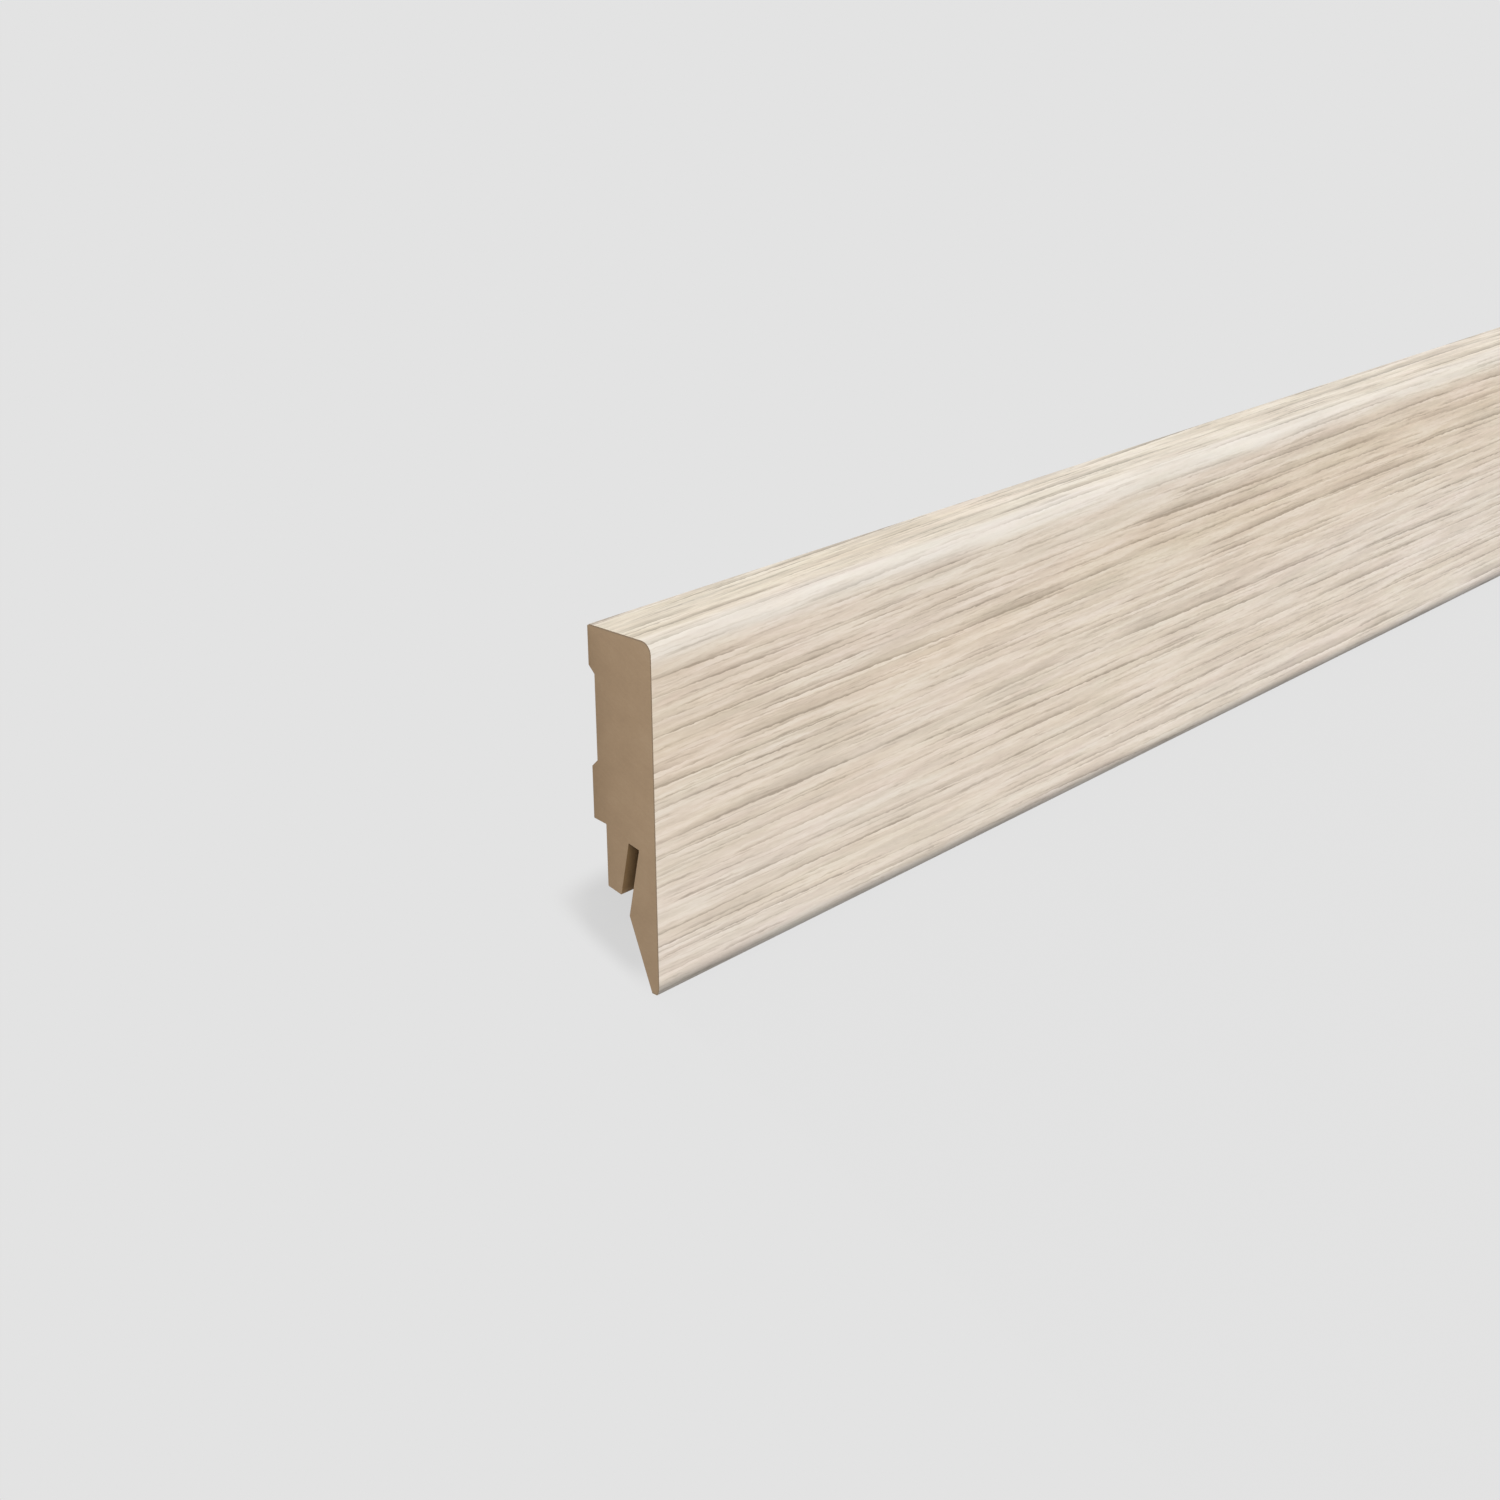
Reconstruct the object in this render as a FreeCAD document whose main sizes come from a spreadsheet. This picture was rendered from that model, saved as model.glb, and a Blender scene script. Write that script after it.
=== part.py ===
import FreeCAD, Part
import Sketcher
import math
import os

# Skirting board length: a machined fibreboard profile wrapped with a wood-grain decor foil.
# It lies on its wall side. X runs along the board, Y from its bottom edge to its top edge,
# Z from the wall plane out to the face that shows in the room. The origin is on the wall
# plane, at mid-length and mid-height. Millimetres and degrees.

SIZES = [
    ("board_length", 2400, "sawn length"),
    ("board_height", 60, "bottom edge to top edge, foil included"),
    ("board_depth", 14, "wall plane to face, foil included"),
    ("foil_thickness", 0.25, "decor foil with its glue"),
    ("foil_setback", 0.4, "bare core between the foil's top edge and the wall plane"),
    ("round_radius", 1.75, "top front round of the core"),
    ("ease_radius", 2.75, "large curve of the core's bottom front edge"),
    ("ease_turn", 28, "angle that the large curve turns through"),
    ("tip_radius", 0.15, "small curve of the core's bottom front edge"),
    ("upper_land", 6.75, "back face above the relief, which touches the wall"),
    ("middle_land", 9, "back face below the relief, which touches the wall"),
    ("relief_depth", 1.25, "hollow between the lands"),
    ("relief_flank", 45, "slope of the hollow's two sides"),
    ("step_height", 27.25, "bottom edge to the foot of the middle land"),
    ("rebate_depth", 2.8, "wall plane to the back of the clip tongue"),
    ("shoulder_tilt", 6, "slope of the step above the tongue"),
    ("tongue_foot", 16.1, "bottom edge to the back corner of the tongue's foot"),
    ("slot_tilt", 12, "lean of the clip slot, its inner end towards the face"),
    ("slot_width", 2.4, "saw cut that takes the clip's blade"),
    ("slot_top", 24.65, "bottom edge to the slot's inner end, on the lip side"),
    ("slot_wall", 3.8, "board left in front of the slot's inner end"),
    ("lip_foot", 1.65, "lip at the bottom edge, foil included"),
    ("lip_bevel", 21.2, "slope of the lip's back, off the face"),
]

doc = FreeCAD.newDocument("SkirtingBoard")

sheet = doc.addObject("Spreadsheet::Sheet", "Sizes")
for row, (alias, value, note) in enumerate(SIZES, start=1):
    sheet.set(f"A{row}", note)
    sheet.set(f"B{row}", str(value))
    sheet.setAlias(f"B{row}", alias)
doc.recompute()


def size(alias):
    return float(sheet.get(alias))


# Places that several sketches share, as a number to draw with and as the formula to bind.
# In every sketch the first axis is the board's Y and the second is its Z.
TOP = (size("board_height") / 2, "Sizes.board_height / 2")
BOTTOM = (-TOP[0], "-Sizes.board_height / 2")


def above_bottom(alias):
    """A height over the bottom edge, seen from the sketch's origin at mid-height."""
    return BOTTOM[0] + size(alias), f"Sizes.{alias} - Sizes.board_height / 2"


def behind_face(alias):
    """A place that is measured back from the face."""
    return size("board_depth") - size(alias), f"Sizes.board_depth - Sizes.{alias}"


def angle(alias):
    return math.radians(size(alias)), f"Sizes.{alias} * 1 deg"


def new_body(name):
    body = doc.addObject("PartDesign::Body", name)
    body.Label = name
    return body


def section_sketch(body, name):
    """An empty sketch across the board, on the body's own YZ plane."""
    sketch = body.newObject("Sketcher::SketchObject", name)
    plane = next(f for f in body.Origin.OriginFeatures if f.Role == "YZ_Plane")
    sketch.AttachmentSupport = [(plane, "")]
    sketch.MapMode = "FlatFace"
    return sketch


def constrain(sketch, kind, *where, formula=None, name=None):
    """Add one constraint, named and bound to the sheet where a formula is given."""
    index = sketch.addConstraint(Sketcher.Constraint(kind, *where))
    if formula:
        sketch.renameConstraint(index, name)
        sketch.setExpression(f"Constraints.{name}", formula)
    return index


def place(sketch, line, end, name, across=None, out=None):
    """Fix an end of a line: `across` along the board's Y, `out` along its Z."""
    if across:
        constrain(sketch, "DistanceX", -1, 1, line, end, across[0], formula=across[1], name=name + "_y")
    if out:
        constrain(sketch, "DistanceY", -1, 1, line, end, out[0], formula=out[1], name=name + "_z")


def tilt(sketch, line, name, value, formula):
    """Set the angle from the board's Y to a line, in its drawn direction."""
    constrain(sketch, "Angle", line, value, formula=formula, name=name)


def segment(sketch, start, end):
    return sketch.addGeometry(
        Part.LineSegment(FreeCAD.Vector(*start, 0), FreeCAD.Vector(*end, 0))
    )


def closed_outline(sketch, corners):
    """Straight lines from corner to corner and back to the first; line 0 starts at corner 0."""
    following = corners[1:] + corners[:1]
    lines = [segment(sketch, start, end) for start, end in zip(corners, following)]
    for line, following_line in zip(lines, lines[1:] + lines[:1]):
        constrain(sketch, "Coincident", line, 2, following_line, 1)
    return lines


def arc(sketch, centre, radius, start, end):
    circle = Part.Circle(FreeCAD.Vector(*centre, 0), FreeCAD.Vector(0, 0, 1), radius)
    return sketch.addGeometry(Part.ArcOfCircle(circle, start, end))


def wrapped_run(sketch, outside, prefix):
    """The run of the section that the foil follows, from the top's back end to the foot's.

    Top line, round, face line, large easing curve, small tip curve and foot line, each
    tangent to the next: the foil's outer surface, or the surface between foil and core.
    Returns the top line and the foot line.
    """
    foil = (size("foil_thickness"), "Sizes.foil_thickness")
    inset = (0, "") if outside else (foil[0], " - " + foil[1])
    growth = (foil[0], " + " + foil[1]) if outside else (0, "")
    top = (TOP[0] - inset[0], TOP[1] + inset[1])
    face = (size("board_depth") - inset[0], "Sizes.board_depth" + inset[1])
    turn = angle("ease_turn")
    round_radius = size("round_radius") + growth[0]
    ease_radius = size("ease_radius") + growth[0]
    tip_radius = size("tip_radius") + growth[0]

    quarter = math.pi / 2
    radius_step = ease_radius - tip_radius
    round_centre = (top[0] - round_radius, face[0] - round_radius)
    tip_y = tip_radius - top[0]
    ease_centre = (tip_y + radius_step * math.sin(turn[0]), face[0] - ease_radius)
    tip_centre = (tip_y, ease_centre[1] + radius_step * math.cos(turn[0]))

    top_line = segment(sketch, (top[0], 0), (top[0], round_centre[1]))
    round_arc = arc(sketch, round_centre, round_radius, 0, quarter)
    face_line = segment(sketch, (round_centre[0], face[0]), (ease_centre[0], face[0]))
    ease_arc = arc(sketch, ease_centre, ease_radius, quarter, quarter + turn[0])
    tip_arc = arc(sketch, tip_centre, tip_radius, quarter + turn[0], 2 * quarter)
    foot_line = segment(sketch, (-top[0], tip_centre[1]), (-top[0], tip_centre[1] - foil[0]))

    run = [top_line, round_arc, face_line, ease_arc, tip_arc, foot_line]
    for first, second in zip(run, run[1:]):
        constrain(sketch, "Tangent", first, 2, second, 1)
    constrain(sketch, "Vertical", top_line)
    constrain(sketch, "Horizontal", face_line)
    constrain(sketch, "Vertical", foot_line)
    for curve, radius, alias in (
        (round_arc, round_radius, "round_radius"),
        (ease_arc, ease_radius, "ease_radius"),
        (tip_arc, tip_radius, "tip_radius"),
    ):
        formula = f"Sizes.{alias}{growth[1]}"
        constrain(sketch, "Radius", curve, radius, formula=formula, name=f"{prefix}_{alias}")
    constrain(sketch, "Angle", ease_arc, turn[0], formula=turn[1], name=f"{prefix}_ease_turn")
    place(sketch, top_line, 1, f"{prefix}_top", across=top)
    place(sketch, face_line, 1, f"{prefix}_face", out=face)
    constrain(
        sketch, "DistanceX", foot_line, 1, -1, 1, top[0], formula=top[1], name=f"{prefix}_foot"
    )
    return top_line, foot_line


def pad_along(body, sketch, name):
    """The section drawn out to the board's length, half of it each way."""
    pad = body.newObject("PartDesign::Pad", name)
    pad.Profile = sketch
    pad.SideType = "Symmetric"
    pad.setExpression("Length", "Sizes.board_length")
    doc.recompute()
    return pad


def cut_along(body, sketch, name):
    """A cut of the moulder along the whole board; it has to take some stock away."""
    before = body.Shape.Volume
    pocket = body.newObject("PartDesign::Pocket", name)
    pocket.Profile = sketch
    pocket.SideType = "Symmetric"
    pocket.setExpression("Length", "Sizes.board_length")
    doc.recompute()
    if not pocket.Shape.Volume < before:
        raise RuntimeError(f"{name} cuts nothing")
    return pocket


# The fibreboard core
core = new_body("mdf_core")

blank = section_sketch(core, "BlankSection")
top_line, foot_line = wrapped_run(blank, False, "core")
back_line = segment(blank, (BOTTOM[0], 0), (TOP[0], 0))
constrain(blank, "Coincident", foot_line, 2, back_line, 1)
constrain(blank, "Coincident", back_line, 2, top_line, 1)
constrain(blank, "PointOnObject", back_line, 1, -1)
constrain(blank, "PointOnObject", back_line, 2, -1)
pad_along(core, blank, "Blank")

# Shallow hollow between the two lands that touch the wall
land_top = (
    BOTTOM[0] + size("step_height") + size("middle_land"),
    "Sizes.step_height + Sizes.middle_land - Sizes.board_height / 2",
)
land_bottom = (TOP[0] - size("upper_land"), TOP[1] + " - Sizes.upper_land")
flank = angle("relief_flank")
floor = size("relief_depth")
run_in = floor / math.tan(flank[0])
relief = section_sketch(core, "ReliefSection")
lower_flank, relief_floor, upper_flank, mouth = closed_outline(
    relief,
    [
        (land_top[0], 0),
        (land_top[0] + run_in, floor),
        (land_bottom[0] - run_in, floor),
        (land_bottom[0], 0),
    ],
)
constrain(relief, "Horizontal", relief_floor)
place(relief, lower_flank, 1, "mouth_start", across=land_top, out=(0, "0"))
place(relief, mouth, 1, "mouth_end", across=land_bottom, out=(0, "0"))
place(relief, relief_floor, 1, "floor", out=(floor, "Sizes.relief_depth"))
tilt(relief, lower_flank, "lower_flank", *flank)
tilt(relief, upper_flank, "upper_flank", -flank[0], f"-({flank[1]})")
cut_along(core, relief, "WallRelief")

# Rebate behind the clip tongue, down to the bottom edge, under a sloping shoulder
step = above_bottom("step_height")
shoulder = angle("shoulder_tilt")
rebate_depth = (size("rebate_depth"), "Sizes.rebate_depth")
rebate = section_sketch(core, "RebateSection")
shoulder_line, tongue_back, rebate_foot, rebate_mouth = closed_outline(
    rebate,
    [
        (step[0], 0),
        (step[0] - rebate_depth[0] * math.tan(shoulder[0]), rebate_depth[0]),
        (BOTTOM[0], rebate_depth[0]),
        (BOTTOM[0], 0),
    ],
)
constrain(rebate, "Horizontal", tongue_back)
constrain(rebate, "Vertical", rebate_foot)
place(rebate, shoulder_line, 1, "step", across=step, out=(0, "0"))
tilt(rebate, shoulder_line, "shoulder", math.pi / 2 + shoulder[0], f"90 deg + {shoulder[1]}")
place(rebate, tongue_back, 1, "back", out=rebate_depth)
place(rebate, rebate_mouth, 1, "foot", across=BOTTOM, out=(0, "0"))
cut_along(core, rebate, "TongueRebate")

# Open space under the tongue's foot, with the bevel that thins the lip
tongue_foot = above_bottom("tongue_foot")
lean = angle("slot_tilt")
bevel = angle("lip_bevel")
lip_foot = behind_face("lip_foot")
# The foot of the tongue and the bevel meet where both slopes give the same height
fall = math.tan(lean[0])
rise = 1 / math.tan(bevel[0])
meet_z = (tongue_foot[0] - BOTTOM[0] + fall * rebate_depth[0] - rise * lip_foot[0]) / (fall - rise)
meet_y = tongue_foot[0] - fall * (meet_z - rebate_depth[0])
foot_space = section_sketch(core, "FootSpaceSection")
space_back, tongue_end, lip_back, space_foot, space_mouth = closed_outline(
    foot_space,
    [
        (tongue_foot[0], 0),
        (tongue_foot[0], rebate_depth[0]),
        (meet_y, meet_z),
        (BOTTOM[0], lip_foot[0]),
        (BOTTOM[0], 0),
    ],
)
constrain(foot_space, "Vertical", space_back)
constrain(foot_space, "Vertical", space_foot)
place(foot_space, space_back, 1, "space_back", out=(0, "0"))
place(foot_space, tongue_end, 1, "tongue_foot", across=tongue_foot, out=rebate_depth)
tilt(foot_space, tongue_end, "tongue_end", math.pi / 2 + lean[0], f"90 deg + {lean[1]}")
place(foot_space, space_foot, 1, "lip_foot", across=BOTTOM, out=lip_foot)
tilt(foot_space, lip_back, "lip_back", math.pi - bevel[0], f"180 deg - {bevel[1]}")
place(foot_space, space_mouth, 1, "space_mouth", out=(0, "0"))
cut_along(core, foot_space, "LipBevel")

# Clip slot, sawn up between tongue and lip from the open space
slot_top = above_bottom("slot_top")
slot_wall = behind_face("slot_wall")
slot_width = size("slot_width")
reach = slot_top[0] - BOTTOM[0]
slot = section_sketch(core, "SlotSection")
lip_foot_z = slot_wall[0] - reach * fall
width_y = slot_width * math.sin(lean[0])
width_z = slot_width * math.cos(lean[0])
slot_end, tongue_side, slot_mouth, lip_side = closed_outline(
    slot,
    [
        (slot_top[0], slot_wall[0]),
        (slot_top[0] + width_y, slot_wall[0] - width_z),
        (BOTTOM[0] + width_y, lip_foot_z - width_z),
        (BOTTOM[0], lip_foot_z),
    ],
)
constrain(slot, "Perpendicular", slot_end, lip_side)
constrain(slot, "Perpendicular", slot_mouth, lip_side)
constrain(slot, "Parallel", tongue_side, lip_side)
place(slot, slot_end, 1, "slot_end", across=slot_top, out=slot_wall)
place(slot, lip_side, 1, "slot_foot", across=BOTTOM)
tilt(slot, lip_side, "slot_lean", *lean)
constrain(
    slot, "Distance", slot_end, slot_width, formula="Sizes.slot_width", name="slot_width"
)
cut_along(core, slot, "ClipSlot")

# The decor foil
foil = new_body("decor_foil")
band = section_sketch(foil, "FoilSection")
outer_top, outer_foot = wrapped_run(band, True, "outer")
inner_top, inner_foot = wrapped_run(band, False, "inner")
setback = (size("foil_setback"), "Sizes.foil_setback")
thickness = size("foil_thickness")
top_edge = segment(band, (TOP[0] - thickness, setback[0]), (TOP[0], setback[0]))
foot_edge = segment(
    band,
    (BOTTOM[0], lip_foot[0]),
    (BOTTOM[0] + thickness, lip_foot[0] - thickness / rise),
)
constrain(band, "Coincident", top_edge, 1, inner_top, 1)
constrain(band, "Coincident", top_edge, 2, outer_top, 1)
constrain(band, "Coincident", foot_edge, 1, outer_foot, 2)
constrain(band, "Coincident", foot_edge, 2, inner_foot, 2)
constrain(band, "Horizontal", top_edge)
place(band, top_edge, 2, "setback", out=setback)
place(band, foot_edge, 1, "lip_foot", out=lip_foot)
tilt(band, foot_edge, "foot_edge", -bevel[0], f"-({bevel[1]})")
pad_along(foil, band, "Foil")

doc.recompute()
for item in doc.Objects:
    faults = [state for state in item.State if state in ("Invalid", "Error")]
    if faults:
        raise RuntimeError(f"{item.Name} is {faults}")
    if item.TypeId == "Sketcher::SketchObject" and not item.FullyConstrained:
        raise RuntimeError(f"{item.Name} is not fully constrained")
for body in (core, foil):
    if body.Shape.isNull() or not body.Shape.isValid() or len(body.Shape.Solids) != 1:
        raise RuntimeError(f"{body.Label} is not one sound solid")

os.makedirs("parts", exist_ok=True)
for body in (core, foil):
    body.Shape.exportStep(f"parts/{body.Label}.step")
    box = body.Shape.BoundBox
    print(
        f"{body.Label}: {body.Shape.Volume / 1000:.1f} cm3, "
        f"{box.XLength:.2f} x {box.YLength:.2f} x {box.ZLength:.2f} mm"
    )
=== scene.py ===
import math

import bpy
from mathutils import Matrix, Vector


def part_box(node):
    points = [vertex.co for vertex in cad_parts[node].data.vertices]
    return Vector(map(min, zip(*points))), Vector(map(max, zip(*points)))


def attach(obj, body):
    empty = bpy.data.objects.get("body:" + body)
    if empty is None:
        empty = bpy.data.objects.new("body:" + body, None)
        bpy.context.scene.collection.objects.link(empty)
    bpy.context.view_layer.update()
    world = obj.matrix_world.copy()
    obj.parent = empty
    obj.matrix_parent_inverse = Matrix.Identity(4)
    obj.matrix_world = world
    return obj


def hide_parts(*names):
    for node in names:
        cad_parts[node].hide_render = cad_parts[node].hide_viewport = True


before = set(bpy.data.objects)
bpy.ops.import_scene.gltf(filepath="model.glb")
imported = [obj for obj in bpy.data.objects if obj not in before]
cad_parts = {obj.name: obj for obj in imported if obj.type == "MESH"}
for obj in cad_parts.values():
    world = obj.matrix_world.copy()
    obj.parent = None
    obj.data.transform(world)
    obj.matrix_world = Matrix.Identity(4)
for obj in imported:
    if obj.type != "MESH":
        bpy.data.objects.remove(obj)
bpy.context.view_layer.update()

MM = 0.001
QUARTER = math.pi / 2

# Outer sizes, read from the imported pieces
foil_low, foil_high = (Vector(corner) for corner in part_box("decor_foil"))
core_high = Vector(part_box("mdf_core")[1])
HALF_LENGTH = foil_high.x
TOP = foil_high.y
BOTTOM = foil_low.y
FACE = foil_high.z
FOIL = foil_high.y - core_high.y
FOIL_SETBACK = foil_low.z

# The machined section, at the sizes of the part's source
ROUND_RADIUS = 1.75 * MM
EASE_RADIUS = 2.75 * MM
EASE_TURN = math.radians(28)
TIP_RADIUS = 0.15 * MM
UPPER_LAND = 6.75 * MM
MIDDLE_LAND = 9 * MM
RELIEF_DEPTH = 1.25 * MM
RELIEF_FLANK = math.radians(45)
STEP_HEIGHT = 27.25 * MM
REBATE_DEPTH = 2.8 * MM
SHOULDER_TILT = math.radians(6)
TONGUE_FOOT = 16.1 * MM
SLOT_TILT = math.radians(12)
SLOT_WIDTH = 2.4 * MM
SLOT_TOP = 24.65 * MM
SLOT_WALL = 3.8 * MM
LIP_FOOT = 1.65 * MM
LIP_BEVEL = math.radians(21.2)
ARRIS = 0.1 * MM  # what the cutters and the wrapping rollers leave on a corner

# The foil's light rolls over its two front edges more gently than their radii alone would give
ROUND_ROLL = 2.0 * MM  # beyond the round, on the top and on the face
EDGE_ROLL = 2.9 * MM  # on the face, up from the bottom edge
EDGE_ROLL_RATE = math.radians(17) / MM

ARC_STEP = math.radians(6)
ARRIS_POINTS = 2
BAYS = 120  # steps of the sweep along the board
CREASE = math.radians(30)  # a bend in the surface beyond this keeps its edge sharp
END_FACING = 0.5  # a face that looks along the board by more than this share is a sawn end
FACE_UP = 0.01  # and one that looks up by more than this share is on the board's face


def linear(hex_colour):
    """An sRGB colour, written as six hex digits, as the linear colour of a socket."""
    channels = [int(hex_colour[i:i + 2], 16) / 255 for i in (0, 2, 4)]
    straight = [c / 12.92 if c <= 0.04045 else ((c + 0.055) / 1.055) ** 2.4 for c in channels]
    return (*straight, 1.0)


def add(tree, kind, inputs=None, **settings):
    """Add one node: its settings, and its inputs as values or as sockets to link from."""
    item = tree.nodes.new(kind)
    for name, value in settings.items():
        setattr(item, name, value)
    for socket, value in (inputs or {}).items():
        if isinstance(value, bpy.types.NodeSocket):
            tree.links.new(value, item.inputs[socket])
        else:
            item.inputs[socket].default_value = value
    return item


# The section, as points (y, z) with the radius left on each corner


def arc(centre, radius, start, end):
    """Points on an arc, both ends included."""
    steps = max(2, math.ceil(abs(end - start) / ARC_STEP))
    angles = [start + (end - start) * i / steps for i in range(steps + 1)]
    return [(centre[0] + radius * math.cos(a), centre[1] + radius * math.sin(a)) for a in angles]


def wrapped_run(skin, start_z, end_z):
    """The run that the foil follows, `skin` outside the core: top, round, face, nose, foot.

    The straight stretches have a point where the light begins to roll over an edge.
    """
    top = TOP - FOIL + skin
    face = FACE - FOIL + skin
    round_radius = ROUND_RADIUS + skin
    ease_radius = EASE_RADIUS + skin
    tip_radius = TIP_RADIUS + skin
    turned = QUARTER + EASE_TURN
    tip_y = tip_radius - top
    ease_centre = (tip_y + (ease_radius - tip_radius) * math.sin(EASE_TURN), face - ease_radius)
    tip_z = ease_centre[1] + (ease_radius - tip_radius) * math.cos(EASE_TURN)
    return (
        [(top, start_z), (top, face - round_radius - ROUND_ROLL)]
        + arc((top - round_radius, face - round_radius), round_radius, 0, QUARTER)
        + [(top - round_radius - ROUND_ROLL, face), (BOTTOM + EDGE_ROLL, face)]
        + arc(ease_centre, ease_radius, QUARTER, turned)[:-1]
        + arc((tip_y, tip_z), tip_radius, turned, 2 * QUARTER)
        + [(-top, end_z)]
    )


def meet(point_a, angle_a, point_b, angle_b):
    """Where two lines cross, each given by a point and its angle from the board's Y."""
    along = Vector((math.cos(angle_a), math.sin(angle_a)))
    across = Vector((-math.sin(angle_b), math.cos(angle_b)))
    gap = Vector(point_b) - Vector(point_a)
    return tuple(Vector(point_a) + along * (gap.dot(across) / along.dot(across)))


lip_foot = (BOTTOM, FACE - LIP_FOOT)
core_lip_foot = meet(lip_foot, -LIP_BEVEL, (BOTTOM + FOIL, 0), QUARTER)
slot_end_lip = (BOTTOM + SLOT_TOP, FACE - SLOT_WALL)
slot_end_tongue = (
    slot_end_lip[0] + SLOT_WIDTH * math.sin(SLOT_TILT),
    slot_end_lip[1] - SLOT_WIDTH * math.cos(SLOT_TILT),
)
tongue_back = (BOTTOM + TONGUE_FOOT, REBATE_DEPTH)
tongue_front = meet(slot_end_tongue, SLOT_TILT, tongue_back, QUARTER + SLOT_TILT)
knee = meet(slot_end_lip, SLOT_TILT, lip_foot, -LIP_BEVEL)
step = (BOTTOM + STEP_HEIGHT, 0)
shoulder = (step[0] - REBATE_DEPTH * math.tan(SHOULDER_TILT), REBATE_DEPTH)
relief_run = RELIEF_DEPTH / math.tan(RELIEF_FLANK)
land_top = (step[0] + MIDDLE_LAND, 0)
land_bottom = (TOP - UPPER_LAND, 0)

core_corners = [
    core_lip_foot,
    knee,
    slot_end_lip,
    slot_end_tongue,
    tongue_front,
    tongue_back,
    shoulder,
    step,
    land_top,
    (land_top[0] + relief_run, RELIEF_DEPTH),
    (land_bottom[0] - relief_run, RELIEF_DEPTH),
    land_bottom,
]
core_run = wrapped_run(0, 0, core_lip_foot[1])[:-1]
core_outline = [(point, 0) for point in core_run] + [(point, ARRIS) for point in core_corners]
foil_outer = wrapped_run(FOIL, FOIL_SETBACK, lip_foot[1])
foil_inner = wrapped_run(0, FOIL_SETBACK, core_lip_foot[1])
foil_outline = [(point, 0) for point in foil_outer + foil_inner[::-1]]
outer_length = sum(math.dist(a, b) for a, b in zip(foil_outer, foil_outer[1:]))


# The sweep along the board


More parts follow.
